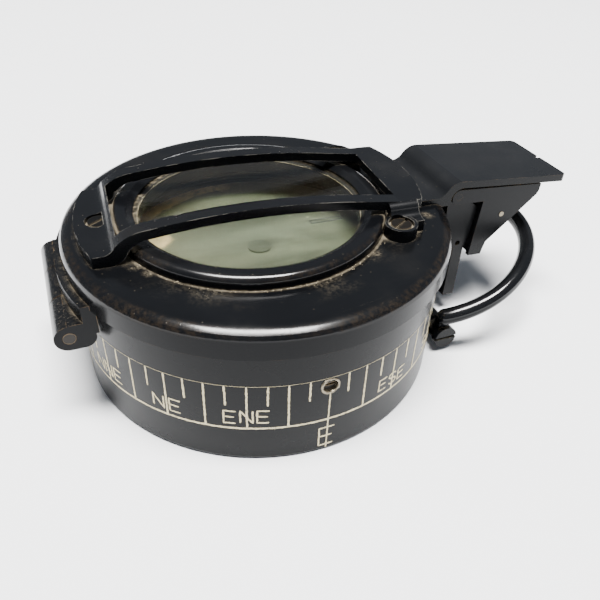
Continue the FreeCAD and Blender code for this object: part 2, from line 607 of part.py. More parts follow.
def bracket_piece(rivets):
    """Two ears on a web, which carry the pivot of the prism box."""
    ears = plate("ear_blank", "XZ_Plane", [
        ("pivot_x - knuckle", "pivot_height"), via("pivot_x", "pivot_height + knuckle"),
        ("pivot_x + knuckle * cos(20)", "pivot_height - knuckle * sin(20)"),
        ("38", "22.2"), ("37.2", "slide_shoulder"), ("slide_x", "slide_shoulder"), ("31.8", "20.9")],
        "2 * slide_half")
    between = block("ear_room", (20, "-slide_half + ear_thickness", 0),
                    (60, "slide_half - ear_thickness", 60))
    web = block("ear_web", ("slide_x + lap_thickness", "-slide_half + ear_thickness", "slide_shoulder"),
                ("slide_x + slide_thickness", "slide_half - ear_thickness", "lap_top"))
    bore = rod("ear_bore", "pivot_radius + running_gap", "20", ("pivot_x", -10, "pivot_height"), ALONG_Y)
    stop_hole = rod("stop_hole", "0.5", "20", ("35.4", -10, "slide_shoulder + 1"), ALONG_Y)
    frame = fuse("bracket_solid", cut("ear_pair", ears, between), web)
    keep(cut("prism_bracket", frame, bore, stop_hole, rivets), "prism_bracket")


def prism_pieces():
    """Box with two arms on the pivot, its right-angle prism and the eye lens."""
    pin_start = ("pivot_x", "-box_half", "pivot_height")
    pin = keep(rod("prism_pivot_pin", "pivot_radius", "2 * box_half", pin_start, ALONG_Y), "prism_pivot_pin")
    pin_pair = []
    for side, start in (("near", "-box_half - box_pin_proud"), ("far", "box_half - cheek")):
        spot = ("box_pin_x", start, "box_pin_height")
        pin_pair.append(rod("housing_pin_" + side, "box_pin_radius", "cheek + box_pin_proud", spot, ALONG_Y))
    pins = keep(group("housing_pins", *pin_pair), "housing_pins")

    outside = plate("housing_blank", "XZ_Plane", [
        ("pivot_x", "pivot_height + box_boss"), ("box_end", "box_top_far"), ("box_end - 0.1", "23.9"),
        ("49.7", "23.2"), ("40.8", "15"), ("40.2", "12.5"), ("box_face - 0.7", "12.7"),
        ("box_face", "23.7"), ("pivot_x", "pivot_height - box_boss"),
        via("pivot_x - box_boss", "pivot_height")], "2 * box_half")
    lens_side = block("lens_side", (20, "cheek - box_half", 0), ("box_face", "box_half - cheek", 60))
    inside_points = [("box_face + wall", 40), ("box_face + wall", "14.43"),
                     ("box_end - wall", "23.92"), ("box_end - wall", 40)]
    inside = plate("housing_inside", "XZ_Plane", inside_points, "2 * (box_half - cheek)")
    lens_hole = rod("lens_hole", "lens_radius", "wall", ("box_face", 0, "lens_height"), ALONG_X)
    keep(cut("prism_housing", outside, lens_side, inside, lens_hole, pin, pins), "prism_housing")

    keep(plate("prism_glass", "XZ_Plane", [
        ("box_face + wall", "26.0"), ("box_face + wall", "14.43"), ("box_end - wall", "23.92"),
        ("box_end - wall", "25.05")], "2 * (box_half - cheek)"), "prism_glass")

    lens_rod = rod("lens_rod", "lens_radius", "wall + 0.5", ("box_face - 0.5", 0, "lens_height"), ALONG_X)
    sphere = ball("lens_sphere_tool", "lens_sphere", ("box_face - 0.45 + lens_sphere", 0, "lens_height"))
    keep(common("prism_lens", lens_rod, sphere), "prism_lens")


# ---- thumb ring --------------------------------------------------------------------------------


def thumb_ring_pieces():
    """Wire ring whose ends turn down to eyes on two shoulder screws, with the lugs that hold them."""
    end_x = "ring_x - thumb_reach * cos(thumb_tilt)"
    end_y = "sqrt(thumb_radius^2 - thumb_reach^2)"
    end_z = "ring_z - thumb_reach * sin(thumb_tilt)"
    wall = rod("lug_case_wall", "case_radius", "40", (0, 0, 0))
    lugs = []
    screws = []
    eyes = []
    clearances = []
    for side, sign in SIDES:
        turn = ALONG_Y if sign == "1" else FreeCAD.Rotation(FreeCAD.Vector(1, 0, 0), 90)
        start = ("thumb_x", sign + " * lug_low", "thumb_height")
        low, high = ("lug_low", "lug_high") if sign == "1" else ("-lug_high", "-lug_low")
        nose = rod("lug_nose_" + side, "lug_radius", "lug_high - lug_low", start, turn)
        root = block("lug_root_" + side, ("24", low, "thumb_height - lug_radius"),
                     ("thumb_x", high, "thumb_height + lug_radius"))
        shank = rod("thumb_shank_" + side, "thumb_screw_radius", "eye_high + 0.3 - lug_low", start, turn)
        head = rod("thumb_head_" + side, "thumb_head_radius", "thumb_head_end - eye_high - thumb_head_gap",
                   ("thumb_x", sign + " * (eye_high + thumb_head_gap)", "thumb_height"), turn)
        slot_ends = ["%s * (thumb_head_end - thumb_slot_depth)" % sign, sign + " * 20"]
        slot_low, slot_high = slot_ends if sign == "1" else slot_ends[::-1]
        slot = block("thumb_slot_" + side, ("thumb_x - 3", slot_low, "thumb_height - slot_width / 2"),
                     ("thumb_x + 3", slot_high, "thumb_height + slot_width / 2"))
        screws.append(cut("thumb_screw_" + side, fuse("thumb_screw_solid_" + side, shank, head), slot))
        lug_solid = fuse("lug_solid_" + side, nose, root)
        lugs.append(cut("ring_lug_" + side, lug_solid, wall, screws[-1]))
        eyes.append(rod("ring_eye_" + side, "eye_radius", "eye_high - eye_low",
                        ("thumb_x", sign + " * eye_low", "thumb_height"), turn))
        foot = ("thumb_x", sign + " * (eye_low + eye_high) / 2", "thumb_height")
        wire_end = (end_x, sign + " * " + end_y, end_z)
        eyes.append(strut("ring_arm_" + side, "arm_radius", foot, wire_end))
        eyes.append(ball("ring_bend_" + side, "thumb_wire", wire_end))
        clearances.append(rod("head_room_" + side, "thumb_head_radius + 0.35", "5",
                              ("thumb_x", sign + " * eye_high", "thumb_height"), turn))
    keep(group("ring_lugs", *lugs), "ring_lugs")
    keep(group("ring_screws", *screws), "ring_screws")

    half_sweep = math.degrees(math.acos(-SIZES["thumb_reach"] / SIZES["thumb_radius"]))
    wire = doc.addObject("Part::Torus", "ring_wire")
    wire.setExpression("Radius1", formula("thumb_radius"))
    wire.setExpression("Radius2", formula("thumb_wire"))
    wire.Angle3 = 2 * half_sweep
    tilt = FreeCAD.Rotation(FreeCAD.Vector(0, 1, 0), -SIZES["thumb_tilt"])
    spin = FreeCAD.Rotation(FreeCAD.Vector(0, 0, 1), -half_sweep)
    place_at(wire, ("ring_x", 0, "ring_z"), tilt.multiply(spin))
    lug_room = rod("lug_room", "lug_radius + 0.6", "2 * eye_low",
                   ("thumb_x", "-eye_low", "thumb_height"), ALONG_Y)
    bore = rod("ring_bore", "thumb_screw_radius + running_gap", "40",
               ("thumb_x", -20, "thumb_height"), ALONG_Y)
    ring = cut("thumb_ring", fuse("ring_solid", wire, *eyes), *clearances, lug_room, bore)
    keep(ring, "thumb_ring")


def check(objects):
    """Stop on anything that failed to build."""
    for item in objects:
        if "Invalid" in item.State or "Error" in item.State:
            raise RuntimeError("%s: %s" % (item.Label, item.State))
    for piece in sub_parts:
        if piece.Shape.isNull() or not piece.Shape.isValid() or not piece.Shape.Solids:
            raise RuntimeError("%s has no valid solid" % piece.Label)


hinge_pieces()
case_pieces()
card_pieces()
bearing_ring_pieces()
lid_pieces()
bracket_piece(slide_pieces())
prism_pieces()
thumb_ring_pieces()
doc.recompute()
check(doc.Objects)
os.makedirs("parts", exist_ok=True)
for piece in sub_parts:
    piece.Shape.exportStep("parts/%s.step" % piece.Label)
    print("%-20s %2d solids %9.1f mm3" % (piece.Label, len(piece.Shape.Solids), piece.Shape.Volume))
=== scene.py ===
"""Looks of the sighting compass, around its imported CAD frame. Lengths are in metres."""
import bmesh
import bpy
import math
import random
from mathutils import Matrix, Vector


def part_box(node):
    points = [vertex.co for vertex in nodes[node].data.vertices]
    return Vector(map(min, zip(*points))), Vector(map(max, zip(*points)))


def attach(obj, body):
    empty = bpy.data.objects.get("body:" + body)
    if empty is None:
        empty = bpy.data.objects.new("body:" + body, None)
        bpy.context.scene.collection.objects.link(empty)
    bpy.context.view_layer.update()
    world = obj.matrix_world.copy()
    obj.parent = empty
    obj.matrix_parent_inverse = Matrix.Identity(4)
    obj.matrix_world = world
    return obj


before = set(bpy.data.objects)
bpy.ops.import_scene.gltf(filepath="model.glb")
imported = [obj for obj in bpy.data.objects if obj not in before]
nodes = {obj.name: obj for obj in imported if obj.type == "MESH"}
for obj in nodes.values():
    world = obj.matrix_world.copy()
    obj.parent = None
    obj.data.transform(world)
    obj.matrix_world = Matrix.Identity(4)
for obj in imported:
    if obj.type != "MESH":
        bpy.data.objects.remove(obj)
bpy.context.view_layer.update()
MM = 0.001

CASE_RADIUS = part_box("case_body")[1][0]
BEZEL_LOW, BEZEL_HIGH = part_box("window_bezel")
BEZEL_X = (BEZEL_LOW[0] + BEZEL_HIGH[0]) / 2
BEZEL_RADIUS = 21.6 * MM
LID_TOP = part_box("window_guard")[0][2]


# ---- node trees ----------------------------------------------------------------------------


class Graph:
    """Node tree of one material, with a short call for each kind of node that it needs."""

    def __init__(self, name):
        self.material = bpy.data.materials.new(name)
        self.material.use_nodes = True
        self.tree = self.material.node_tree
        self.shader = self.tree.nodes["Principled BSDF"]
        coordinates = self.add("ShaderNodeTexCoord").outputs
        self.place, self.facing = coordinates["Object"], coordinates["Normal"]
        self.normal = self.add("ShaderNodeNewGeometry").outputs["Normal"]

    def add(self, kind, values=(), **settings):
        """New node with its settings, and with values by input name or index."""
        node = self.tree.nodes.new(kind)
        for name, value in settings.items():
            setattr(node, name, value)
        for key, value in dict(values).items():
            self.feed(node.inputs[key], value)
        return node

    def feed(self, socket, value):
        if isinstance(value, bpy.types.NodeSocket):
            self.tree.links.new(value, socket)
        else:
            socket.default_value = value

    def math(self, operation, first, second=0.0, clamp=False):
        node = self.add("ShaderNodeMath", {0: first, 1: second}, operation=operation, use_clamp=clamp)
        return node.outputs[0]

    def noise(self, scale, detail=3.0, rough=0.55, place=None, distortion=0.0):
        node = self.add("ShaderNodeTexNoise", {
            "Vector": place or self.place, "Scale": scale, "Detail": detail,
            "Roughness": rough, "Distortion": distortion})
        return node.outputs["Fac"]

    def stretched(self, scale):
        """Object coordinates scaled by a different amount along each axis."""
        return self.add("ShaderNodeMapping", {"Vector": self.place, "Scale": scale}).outputs[0]

    def spread(self, value, low, high, to_low=0.0, to_high=1.0):
        """Map a value from one range to another, smoothly and within bounds."""
        node = self.add("ShaderNodeMapRange", {
            "Value": value, "From Min": low, "From Max": high, "To Min": to_low, "To Max": to_high},
            interpolation_type="SMOOTHSTEP")
        return node.outputs[0]

    def blend(self, share, first, second):
        """Colour that goes from first to second as share goes from 0 to 1."""
        node = self.add("ShaderNodeMix", {0: share, 6: first, 7: second}, data_type="RGBA")
        return node.outputs[2]

    def part(self, vector, axis):
        return self.add("ShaderNodeSeparateXYZ", {0: vector}).outputs[axis]

    def radius(self, centre_x=0.0):
        """Distance from the vertical line through (centre_x, 0)."""
        shifted = self.add("ShaderNodeVectorMath", {0: self.place, 1: (-centre_x, 0, 0)}, operation="ADD")
        flat = self.add("ShaderNodeVectorMath", {0: shifted.outputs[0], 1: (1, 1, 0)}, operation="MULTIPLY")
        return self.add("ShaderNodeVectorMath", {0: flat.outputs[0]}, operation="LENGTH").outputs["Value"]

    def edges(self, width):
        """From 0 on a flat face to 1 on a sharp edge."""
        soft = self.add("ShaderNodeBevel", {"Radius": width}, samples=6)
        same = self.add("ShaderNodeVectorMath", {0: soft.outputs[0], 1: self.normal}, operation="DOT_PRODUCT")
        return self.math("SUBTRACT", 1.0, same.outputs["Value"], clamp=True)

    def crevices(self, reach):
        """From 0 in the open to 1 deep in a corner."""
        open_share = self.add("ShaderNodeAmbientOcclusion", {"Distance": reach}, samples=8).outputs["AO"]
        return self.math("SUBTRACT", 1.0, open_share, clamp=True)

    def specks(self, scale, size):
        """Sparse round spots, one in some cells of a random lattice."""
        cells = self.add("ShaderNodeTexVoronoi", {"Vector": self.place, "Scale": scale})
        spot = self.spread(cells.outputs["Distance"], size, 0.4 * size)
        chosen = self.math("GREATER_THAN", self.part(cells.outputs["Color"], 0), 0.72)
        return self.math("MULTIPLY", spot, chosen)

    def bump(self, height, distance, strength=1.0, normal=None):
        node = self.add("ShaderNodeBump", {"Height": height, "Distance": distance, "Strength": strength})
        if normal is not None:
            self.feed(node.inputs["Normal"], normal)
        return node.outputs[0]

    def finish(self, colour, roughness, normal=None, metallic=0.0, **plain):
        for name, value in (("Base Color", colour), ("Roughness", roughness), ("Metallic", metallic)):
            self.feed(self.shader.inputs[name], value)
        if normal is not None:
            self.feed(self.shader.inputs["Normal"], normal)
        for name, value in plain.items():
            self.shader.inputs[name.replace("_", " ")].default_value = value
        return self.material


# ---- materials -----------------------------------------------------------------------------

DUST = (0.34, 0.285, 0.195, 1)
BRONZE = (0.26, 0.17, 0.085, 1)
# Pale metal on the guard's rubbed edges: partly wear, partly a painted highlight along its upper edges.
PALE_WEAR_AND_HIGHLIGHT = (0.3, 0.285, 0.25, 1)
# Where dust lies on the lid beside the guard's boss and leg: x, y and reach in millimetres.
DUSTY_SPOTS = ((25.0, -10.6, 1.3), (11.8, -17.8, 1.2), (-21.6, -9.9, 1.4), (-19.9, -11.8, 1.6))


def enamel(name, dark, light, gloss, dusty, worn, sheen=0.5, powder=None, rubbed=None, reach=1.7,
           under=BRONZE, edge=0.14):
    """Old black enamel: smudged, pitted, dusty in its corners and rubbed through along its edges."""
    g = Graph(name)
    smudge = g.noise(95, 4)
    orange_peel = g.noise(1100, 2)
    pitting = g.noise(3600, 3, 0.7)
    breakup = g.noise(520, 5, 0.7)
    height = g.part(g.facing, 2)
    faces_up = g.spread(height, 0.15, 0.75)
    corner = g.spread(g.math("ADD", g.crevices(reach * MM), g.math("MULTIPLY", breakup, 0.42)), 0.66, 1.0)
    settled = g.math("MULTIPLY", g.math("MULTIPLY", corner, faces_up), dusty)
    film = g.math("MULTIPLY", g.spread(smudge, 0.5, 0.9, 0, 0.02 * dusty), faces_up)
    motes = g.math("MULTIPLY", g.math("MULTIPLY", g.specks(1200, 0.15), faces_up), 0.16 * dusty)
    dust = g.math("MAXIMUM", g.math("ADD", settled, film), motes)
    if powder:
        dust = g.math("MAXIMUM", dust, powder(g), clamp=True)
    rub = g.math("MULTIPLY", g.edges(edge * MM), g.spread(g.noise(260, 4, 0.7), 0.42, 0.68))
    bare = g.spread(rub, 0.05, 0.2, 0, worn)
    if rubbed:
        bare = g.math("MAXIMUM", bare, rubbed(g))
    enamel_colour = g.blend(smudge, dark, light)
    colour = g.blend(dust, g.blend(bare, enamel_colour, under), DUST)
    matt = g.spread(smudge, 0.3, 0.8, gloss, gloss + 0.1)
    matt = g.math("ADD", matt, g.math("MULTIPLY", dust, 0.75), clamp=True)
    waves = g.bump(orange_peel, 0.012 * MM, 0.5)
    pits = g.bump(pitting, 0.006 * MM, 0.5, waves)
    grit = g.bump(g.math("MULTIPLY", breakup, dust), 0.12 * MM, 0.9, pits)
    # Painted shade: faces that turn sideways reflect only a fifth as strongly as upward faces, so the walls
    # stay dark.
    g.feed(g.shader.inputs["Specular IOR Level"], g.spread(height, 0.05, 0.6, 0.2 * sheen, sheen))
    return g.finish(colour, matt, grit, g.math("MULTIPLY", bare, 0.7))


def powder_round_bezel(g):
    """Dust packed against the window's bezel, thinning out over the lid in patches."""
    around = g.radius(BEZEL_X)
    outside = g.math("GREATER_THAN", around, BEZEL_RADIUS - 0.3 * MM)
    grain = g.noise(2300, 4, 0.8)
    packed = g.spread(around, BEZEL_RADIUS + 0.1 * MM, BEZEL_RADIUS + 0.55 * MM, 0.26, 0)
    packed = g.math("MULTIPLY", packed, g.spread(g.noise(480, 4, 0.7), 0.36, 0.58, 0.25, 1.0))
    drifted = g.spread(around, BEZEL_RADIUS, BEZEL_RADIUS + 5 * MM, 0.12, 0)
    drifted = g.math("MULTIPLY", drifted, g.spread(g.noise(120, 3), 0.42, 0.66))
    drifted = g.math("MULTIPLY", drifted, g.spread(grain, 0.42, 0.62))
    layer = g.math("MAXIMUM", packed, drifted)
    for x, y, reach in DUSTY_SPOTS:
        off = g.add("ShaderNodeVectorMath", {0: g.place, 1: (x * MM, y * MM, LID_TOP)}, operation="DISTANCE")
        ragged = g.math("ADD", off.outputs["Value"], g.math("MULTIPLY", g.noise(650, 4, 0.7), 2.2 * MM))
        spot = g.spread(ragged, (reach + 1.1) * MM, 1.1 * MM, 0, 0.2)
        layer = g.math("MAXIMUM", layer, g.math("MULTIPLY", spot, g.spread(grain, 0.4, 0.6)))
    top = g.spread(g.part(g.facing, 2), 0.5, 0.9)
    return g.math("MULTIPLY", g.math("MULTIPLY", layer, outside), top)


def powder_at_foot(g):
    """Dust round the foot of the bezel's wall."""
    foot = g.spread(g.part(g.place, 2), LID_TOP + 0.26 * MM, LID_TOP + 0.02 * MM, 0, 0.3)
    outside = g.math("GREATER_THAN", g.radius(BEZEL_X), BEZEL_RADIUS - 0.4 * MM)
    patches = g.spread(g.noise(700, 4, 0.7), 0.4, 0.6, 0.1, 1)
    return g.math("MULTIPLY", g.math("MULTIPLY", foot, outside), patches)


def powder_on_ledge(g):
    """Speckled dust over the upward faces."""
    top = g.spread(g.part(g.facing, 2), 0.3, 0.95, 0, 0.06)
    return g.math("MULTIPLY", top, g.spread(g.noise(2100, 4, 0.8), 0.5, 0.7))


def rubbed_band(g, inner, outer, low, centre_x, amount):
    """Bronze showing faintly along a round shoulder, between two radii and above a height."""
    around = g.radius(centre_x)
    rising, falling = g.spread(around, inner, inner + 0.7 * MM), g.spread(around, outer + 0.4 * MM, outer)
    above = g.math("GREATER_THAN", g.part(g.place, 2), low)
    band = g.math("MULTIPLY", g.math("MULTIPLY", rising, falling), above)
    patches = g.spread(g.noise(75, 3), 0.35, 0.6)
    flecks = g.spread(g.noise(1300, 5, 0.75), 0.42, 0.62)
    return g.math("MULTIPLY", g.math("MULTIPLY", band, g.math("MULTIPLY", patches, flecks)), amount)


def lid_rim_wear(g):
    """Wear along the lid's rounded rim."""
    return rubbed_band(g, 29.2 * MM, 30.7 * MM, 23.5 * MM, 0.0, 0.035)


def bezel_wear(g):
    """Wear along the bezel's rounded rim."""
    return rubbed_band(g, 20.5 * MM, 21.4 * MM, 25.9 * MM, BEZEL_X, 0.035)


def screw_metal(name, base, worn):
    """Blackened brass, rubbed bright on its edges."""
    g = Graph(name)
    blotch = g.noise(700, 4, 0.65)
    turned = g.noise(1.0, 3, place=g.stretched((2500, 2500, 300)))
    rub = g.spread(g.edges(0.18 * MM), 0.02, 0.14)
    share = g.math("MULTIPLY", g.spread(blotch, 0.3, 0.7), rub, clamp=True)
    grime = g.spread(g.math("ADD", g.crevices(0.9 * MM), g.math("MULTIPLY", blotch, 0.3)), 0.6, 0.95, 0, 0.85)
    colour = g.blend(grime, g.blend(share, base, worn), DUST)
    matt = g.math("ADD", g.spread(blotch, 0.2, 0.8, 0.3, 0.5), g.math("MULTIPLY", grime, 0.35))
    return g.finish(colour, matt, g.bump(turned, 0.01 * MM, 0.5), g.math("SUBTRACT", 0.75, grime, clamp=True))


def brass(name):
    """Lacquered brass of the works under the dial."""
    g = Graph(name)
    cloud = g.noise(300, 4)
    grain = g.noise(1.0, 3, place=g.stretched((3000, 3000, 200)))
    colour = g.blend(cloud, (0.42, 0.28, 0.1, 1), (0.25, 0.16, 0.06, 1))
    return g.finish(colour, g.spread(cloud, 0.2, 0.8, 0.25, 0.45), g.bump(grain, 0.01 * MM, 0.4), 1.0)


def pearl(name, shade):
    """Mother-of-pearl: faint bands of grey-green and cream, with stains along the far left edge."""
    g = Graph(name)
    drift = g.noise(55, 3, place=g.stretched((0.55, 1.5, 1)))
    wave = g.add("ShaderNodeTexWave", {
        "Vector": g.stretched((0.35, 1, 1)), "Scale": 42, "Distortion": 9, "Detail": 3, "Detail Scale": 1.6},
        bands_direction="Y")
    bands = g.math("ADD", g.math("MULTIPLY", wave.outputs["Fac"], 0.22), g.math("MULTIPLY", drift, 0.78))
    tone = [shade * level for level in (0.152, 0.157, 0.124)]
    light = [shade * level for level in (0.245, 0.247, 0.198)]
    green = g.blend(g.spread(bands, 0.3, 0.7), (*tone, 1), (*light, 1))
    warm = g.math("ADD", g.part(g.place, 0), g.math("MULTIPLY", g.noise(90, 3), 8 * MM))
    green = g.blend(g.spread(warm, 4 * MM, -14 * MM, 0, 0.75), green, (0.075, 0.068, 0.052, 1))
    pale = g.blend(g.spread(g.noise(150, 4), 0.5, 0.8, 0, 0.45), green, (0.17, 0.168, 0.14, 1))
    ragged = g.math("MULTIPLY", g.noise(420, 4, 0.7), 2.6 * MM)
    stain = g.spread(g.math("ADD", g.radius(), ragged), 21.9 * MM, 22.7 * MM)
    stain = g.math("MULTIPLY", stain, g.spread(g.part(g.place, 0), 2.5 * MM, -2 * MM))
    stain = g.math("MULTIPLY", stain, g.spread(g.part(g.place, 1), 5 * MM, 9 * MM))
    off_patch = g.add("ShaderNodeVectorMath", {0: g.place, 1: (-15.5 * MM, 7.2 * MM, 16.45 * MM)},
                      operation="DISTANCE")
    patch = g.spread(g.math("ADD", off_patch.outputs["Value"], ragged), 4.1 * MM, 2.9 * MM)
    mottle = g.spread(g.noise(700, 4), 0.3, 0.55, 0.35, 0.95)
    stain = g.math("MULTIPLY", g.math("MAXIMUM", stain, patch), mottle)
    colour = g.blend(stain, pale, (0.4, 0.27, 0.16, 1))
    colour = g.blend(g.math("MULTIPLY", g.specks(330, 0.12), 0.4), colour, (0.5, 0.48, 0.4, 1))
    relief = g.bump(bands, 0.02 * MM, 0.4)
    matt = g.spread(drift, 0.3, 0.7, 0.3, 0.42)
    return g.finish(colour, matt, relief, 0.0, Coat_Weight=0.2, Coat_Roughness=0.15)


def glass(name, tint, lamp_tint, rim=None, dusty=False):
    """Clear glass that lets lamps through to what lies under it, with a dark matt band painted as shade over
    its outer edge, or settled dust.
    """
    g = Graph(name)
    g.shader.inputs["Transmission Weight"].default_value = 1.0
    g.shader.inputs["IOR"].default_value = 1.3
    g.shader.inputs["Base Color"].default_value = tint
    g.shader.inputs["Roughness"].default_value = 0.0
    through = g.add("ShaderNodeBsdfTransparent", {"Color": lamp_tint})
    lamp = g.add("ShaderNodeLightPath").outputs["Is Shadow Ray"]
    clear = g.add("ShaderNodeMixShader", {0: lamp, 1: g.shader.outputs[0], 2: through.outputs[0]})
    surface = clear.outputs[0]
    if rim:
        # Painted shade: beyond radius rim the glass is covered by a dark matt surface.
        painted_shade_band = g.add("ShaderNodeBsdfDiffuse", {"Color": (0.012, 0.013, 0.013, 1)})
        edge = g.math("GREATER_THAN", g.radius(), rim)
        surface = g.add("ShaderNodeMixShader", {0: edge, 1: surface, 2: painted_shade_band.outputs[0]}).outputs[0]
    if dusty:
        speck = g.math("MULTIPLY", g.specks(700, 0.13), g.spread(g.noise(90, 3), 0.45, 0.7, 0, 0.4))
        film = g.spread(g.noise(70, 4, 0.6), 0.3, 0.8, 0.003, 0.012)
        ragged = g.math("MULTIPLY", g.noise(1100, 4, 0.75), 2.4 * MM)
        lined = g.spread(g.math("ADD", g.radius(BEZEL_X), ragged), 18.35 * MM, 19.5 * MM, 0, 0.4)
        lined = g.math("MULTIPLY", lined, g.spread(g.noise(1500, 3, 0.7), 0.42, 0.6))
        lined = g.math("MULTIPLY", lined, g.spread(g.part(g.place, 1), -9 * MM, 0, 0.15, 1))
        lined = g.math("MULTIPLY", lined, g.spread(g.part(g.place, 0), 9 * MM, 0, 0.2, 1))
        matte = g.add("ShaderNodeBsdfDiffuse", {"Color": DUST})
        share = g.math("ADD", g.math("MAXIMUM", speck, lined), film, clamp=True)
        surface = g.add("ShaderNodeMixShader", {0: share, 1: surface, 2: matte.outputs[0]}).outputs[0]
    g.tree.links.new(surface, g.tree.nodes["Material Output"].inputs["Surface"])
    return g.material


def plain(name, first, second, low, high, scale=800):
    """Matt material mottled between two colours."""
    g = Graph(name)
    mottle = g.noise(scale, 4, 0.65)
    colour = g.blend(mottle, first, second)
    return g.finish(colour, g.spread(mottle, 0.2, 0.8, low, high), g.bump(mottle, 0.03 * MM, 0.6))


def scale_paint(name):
    """Cream paint in the engraving, chipped and grimy."""
    g = Graph(name)
    mottle = g.noise(1400, 4, 0.65)
    chips = g.spread(g.noise(2300, 4, 0.75), 0.56, 0.66, 0, 0.85)
    cream = g.blend(mottle, (0.78, 0.7, 0.46, 1), (0.4, 0.32, 0.17, 1))
    colour = g.blend(chips, cream, (0.05, 0.042, 0.03, 1))
    return g.finish(colour, 0.65, g.bump(mottle, 0.03 * MM, 0.6))


def dress(names, material):
    """Give CAD parts their material."""
    for name in names:
        slots = nodes[name].data.materials
        slots.clear()
        slots.append(material)


DARK, LIGHT = (0.0016, 0.0018, 0.0023, 1), (0.003, 0.0033, 0.004, 1)
black = enamel("black_enamel", DARK, LIGHT, 0.2, 0.8, 0.4)
# The guard's edges show pale metal over a wider band: wear and a painted highlight along its edges.
guard_black = enamel("guard_enamel", DARK, LIGHT, 0.2, 0.5, 0.6, under=PALE_WEAR_AND_HIGHLIGHT, edge=0.3)
smooth_black = enamel("tongue_enamel", (0.0028, 0.0031, 0.0038, 1), (0.0048, 0.0052, 0.006, 1),
                      0.27, 0.35, 0.3)
lid_black = enamel("lid_enamel", DARK, LIGHT, 0.16, 0.5, 0.15, 0.42, powder_round_bezel, lid_rim_wear, 2.6)
bezel_black = enamel("bezel_enamel", DARK, LIGHT, 0.15, 0.6, 0.3, powder=powder_at_foot, rubbed=bezel_wear)
ledge_black = enamel("hinge_enamel", DARK, LIGHT, 0.2, 1.0, 0.6, powder=powder_on_ledge)
side_black = enamel("case_enamel", (0.0028, 0.003, 0.0034, 1), (0.005, 0.0053, 0.006, 1), 0.24, 0.4, 0.3)
polished = enamel("ring_enamel", (0.002, 0.0023, 0.0028, 1), (0.004, 0.0043, 0.005, 1), 0.1, 0.3, 0.3, 0.6)
steel = screw_metal("dark_steel", (0.016, 0.014, 0.012, 1), (0.24, 0.17, 0.09, 1))
rim_metal = screw_metal("rubbed_rim", (0.2, 0.17, 0.12, 1), (0.5, 0.44, 0.33, 1))
crumbs = plain("dust", (0.5, 0.43, 0.31, 1), (0.27, 0.21, 0.13, 1), 0.85, 0.98, 1500)
seal = plain("seal", (0.006, 0.006, 0.006, 1), (0.014, 0.014, 0.014, 1), 0.6, 0.8)
magnet = plain("magnet", (0.1, 0.1, 0.11, 1), (0.05, 0.05, 0.055, 1), 0.35, 0.5)
paint = scale_paint("scale_paint")

dress(["slide_track", "ring_lugs", "ring_screws", "bearing_ring", "glass_retainer", "base_cover",
       "compass_bowl", "glass_clamp_ring"], black)
dress(["window_guard"], guard_black)
dress(["lid_tongue", "tongue_rivets", "slide_plate", "prism_bracket", "bracket_rivets", "prism_housing",
       "prism_pivot_pin"], smooth_black)
dress(["lid_hinge_leaf", "case_hinge_leaf"], ledge_black)
dress(["lid_shell"], lid_black)
dress(["window_bezel"], bezel_black)
dress(["case_body"], side_black)
dress(["thumb_ring"], polished)
dress(["filler_plug", "hinge_pin", "track_screws", "guard_boss_screws",
       "snap_ring"], steel)
dress(["guard_plate_screw"], screw_metal("plate_screw", (0.006, 0.006, 0.006, 1), (0.07, 0.06, 0.045, 1)))
dress(["housing_pins"], rim_metal)
dress(["expansion_diaphragm", "pivot_post"], brass("bare_brass"))
dress(["compass_card"], pearl("pearl", 0.34))
dress(["jewel_cup"], pearl("pearl_hub", 0.21))
dress(["window_glass"], glass("window_glass", (0.93, 0.95, 0.92, 1), (0.65, 0.66, 0.63, 1), dusty=True))
dress(["bearing_glass"], glass("bearing_glass", (0.96, 0.98, 0.95, 1), (0.88, 0.9, 0.86, 1), rim=23.2 * MM))
dress(["capsule_glass"], glass("clear_glass", (0.96, 0.98, 0.95, 1), (0.88, 0.9, 0.86, 1), rim=24.0 * MM))
dress(["prism_glass", "prism_lens"], glass("prism_glass", (0.93, 0.97, 0.95, 1), (0.85, 0.9, 0.88, 1)))
dress(["window_gasket", "capsule_gasket"], seal)
dress(["card_magnets"], magnet)


def soften(names, width):
    """Round the sharp edges of CAD pieces a little."""
    for name in names:
        tidy = nodes[name].modifiers.new("merge_flats", "DECIMATE")
        tidy.decimate_type = "DISSOLVE"
        tidy.angle_limit = math.radians(1.0)
        ease = nodes[name].modifiers.new("ease", "BEVEL")
        ease.width = width
        ease.segments = 3
        ease.limit_method = "ANGLE"
        ease.angle_limit = math.radians(38)
        ease.harden_normals = True


soften(["window_guard"], 0.18 * MM)
soften(["lid_shell"], 0.13 * MM)
soften(["lid_tongue", "prism_housing", "slide_plate", "slide_track", "prism_bracket"], 0.15 * MM)
soften(["lid_hinge_leaf", "case_hinge_leaf"], 0.15 * MM)


# ---- engraved scale ------------------------------------------------------------------------


def add_piece(name, shape, material, body):
    """Object made from a bmesh, riding on a body."""
    mesh = bpy.data.meshes.new(name)
    bmesh.ops.recalc_face_normals(shape, faces=shape.faces)
    shape.to_mesh(mesh)
    shape.free()
    mesh.materials.append(material)
    piece = bpy.data.objects.new(name, mesh)
    bpy.context.scene.collection.objects.link(piece)
    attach(piece, body)
    return piece


def on_wall(along, height, radius):
    """Point on the case wall, with along measured round it from the +X side."""
    angle = along / CASE_RADIUS
    return Vector((radius * math.cos(angle), radius * math.sin(angle), height))


def resampled(points, step):
    """Points along a polyline, about one step apart."""
    result = [Vector(points[0])]
    for start, end in zip(points, points[1:]):
        start, end = Vector(start), Vector(end)
        count = max(1, round((end - start).length / step))
        result += [start.lerp(end, index / count) for index in range(1, count + 1)]
    return result


